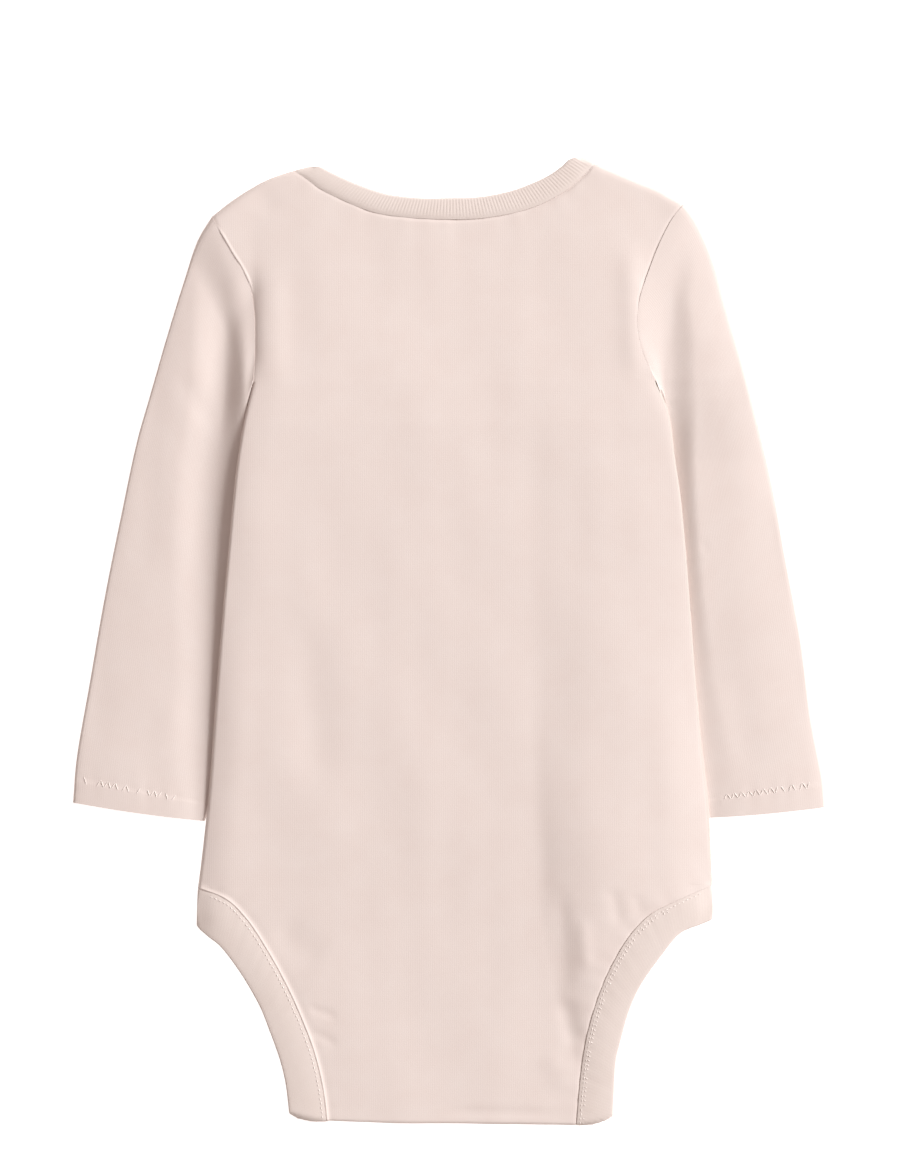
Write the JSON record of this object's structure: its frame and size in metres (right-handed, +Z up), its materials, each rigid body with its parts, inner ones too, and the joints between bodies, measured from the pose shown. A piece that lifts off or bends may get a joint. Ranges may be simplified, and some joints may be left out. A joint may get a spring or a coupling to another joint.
{
  "type": "baby onesie",
  "caption": "Long-sleeved baby bodysuit in plain interlock jersey with a ribbed neckband and leg bindings, closed by crotch snaps and laid flat on its front.",
  "frame": {"origin": "under the middle of the garment's box, on the surface it lies on", "axes": "+X towards the wearer's right sleeve, +Y towards the neck, +Z up out of the back"},
  "size_m": [0.328, 0.421, 0.0092],
  "materials": {
    "jersey": "soft brushed cotton interlock, matt",
    "rib": "cotton rib folded double, matt",
    "snap": "satin pressed metal"
  },
  "bodies": {
    "root": {"back_panel": "jersey", "front_panel": "jersey", "sleeve_left": "jersey", "sleeve_right": "jersey", "neckband": "rib", "leg_binding_left": "rib", "leg_binding_right": "rib", "snap_1": "snap", "snap_2": "snap", "snap_3": "snap"}
  },
  "joints": []
}
